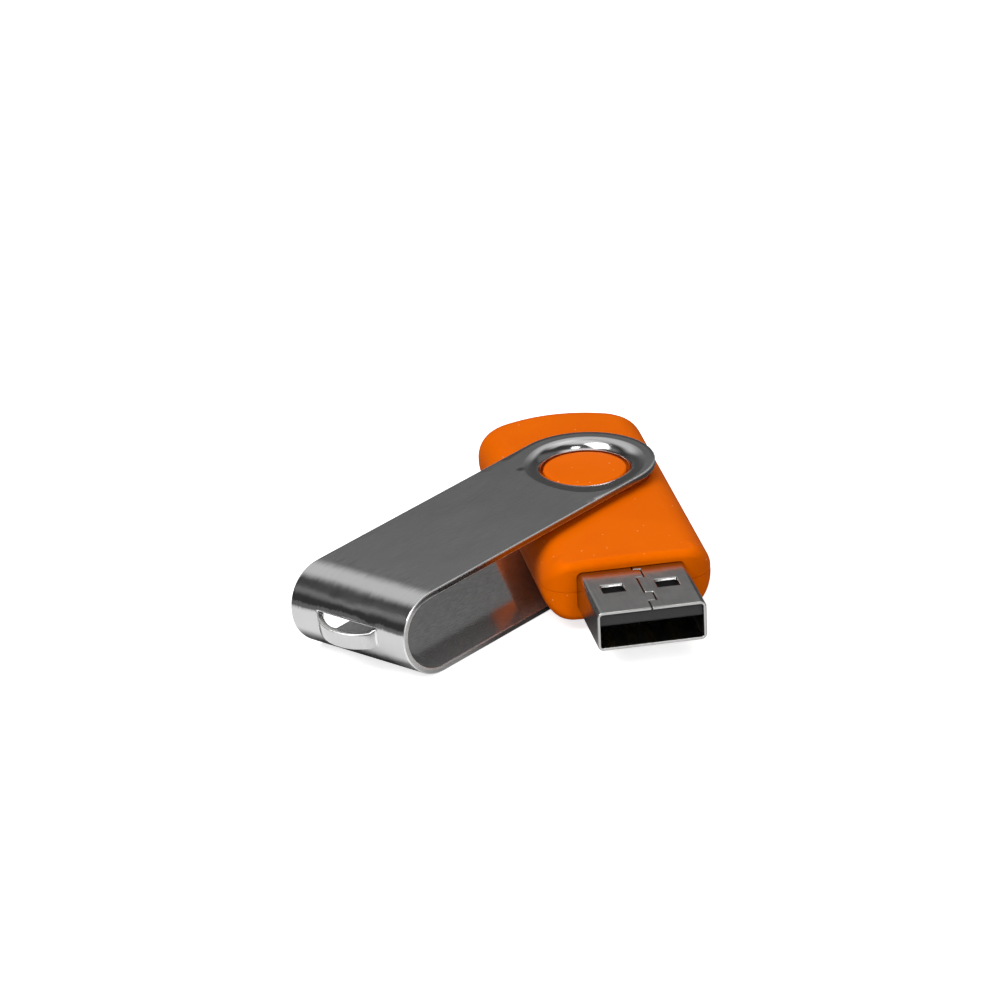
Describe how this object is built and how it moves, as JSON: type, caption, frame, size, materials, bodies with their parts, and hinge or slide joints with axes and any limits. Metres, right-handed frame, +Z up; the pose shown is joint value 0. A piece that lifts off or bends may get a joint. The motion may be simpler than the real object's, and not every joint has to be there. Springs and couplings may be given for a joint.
{
  "type": "usb flash drive",
  "caption": "Flat pocket storage stick with a rounded plastic body, a sheet-metal rectangular plug and a folded steel cover that swivels round the body.",
  "frame": {"origin": "centre of the lower swivel boss's outer face, on the swivel axis", "axes": "+X from the swivel axis to the plug's tip, +Y across the body, +Z up along the swivel axis; rest pose has the cover swung 49.33 degrees clockwise seen from above"},
  "size_m": [0.0544, 0.0466, 0.0099],
  "materials": {
    "orange_plastic": "soft-touch orange moulding",
    "cover_steel": "brushed stainless steel with polished edges",
    "plug_nickel": "nickel-plated sheet steel, satin",
    "insulator_black": "charcoal moulding",
    "contact_gold": "gold-plated strip",
    "board_green": "solder-mask green",
    "package_black": "moulded package with tinned legs",
    "ceramic_tan": "ceramic bar with tinned ends",
    "resistor_black": "dark film on white ceramic with tinned ends",
    "tin": "bright tin"
  },
  "bodies": {
    "housing": {"upper_shell": "orange_plastic", "lower_shell": "orange_plastic", "plug_shell": "plug_nickel", "plug_insulator": "insulator_black", "contact_power": "contact_gold", "contact_data_minus": "contact_gold", "contact_data_plus": "contact_gold", "contact_ground": "contact_gold", "circuit_board": "board_green", "memory_chip": "package_black", "controller_chip": "package_black", "crystal": "tin", "solder_power": "tin", "solder_data_minus": "tin", "solder_data_plus": "tin", "solder_ground": "tin", "solder_leg_left": "tin", "solder_leg_right": "tin", "capacitor_1": "ceramic_tan", "capacitor_2": "ceramic_tan", "capacitor_3": "ceramic_tan", "capacitor_4": "ceramic_tan", "capacitor_5": "ceramic_tan", "resistor_1": "resistor_black", "resistor_2": "resistor_black", "resistor_3": "resistor_black", "resistor_4": "resistor_black"},
    "cover": {"swivel_cover": "cover_steel"}
  },
  "joints": [
    {"name": "cover_swivel", "type": "hinge", "parent": "housing", "child": "cover", "pos_m": [0, 0, 0.00395], "axis": [0, 0, 1], "continuous": true}
  ]
}
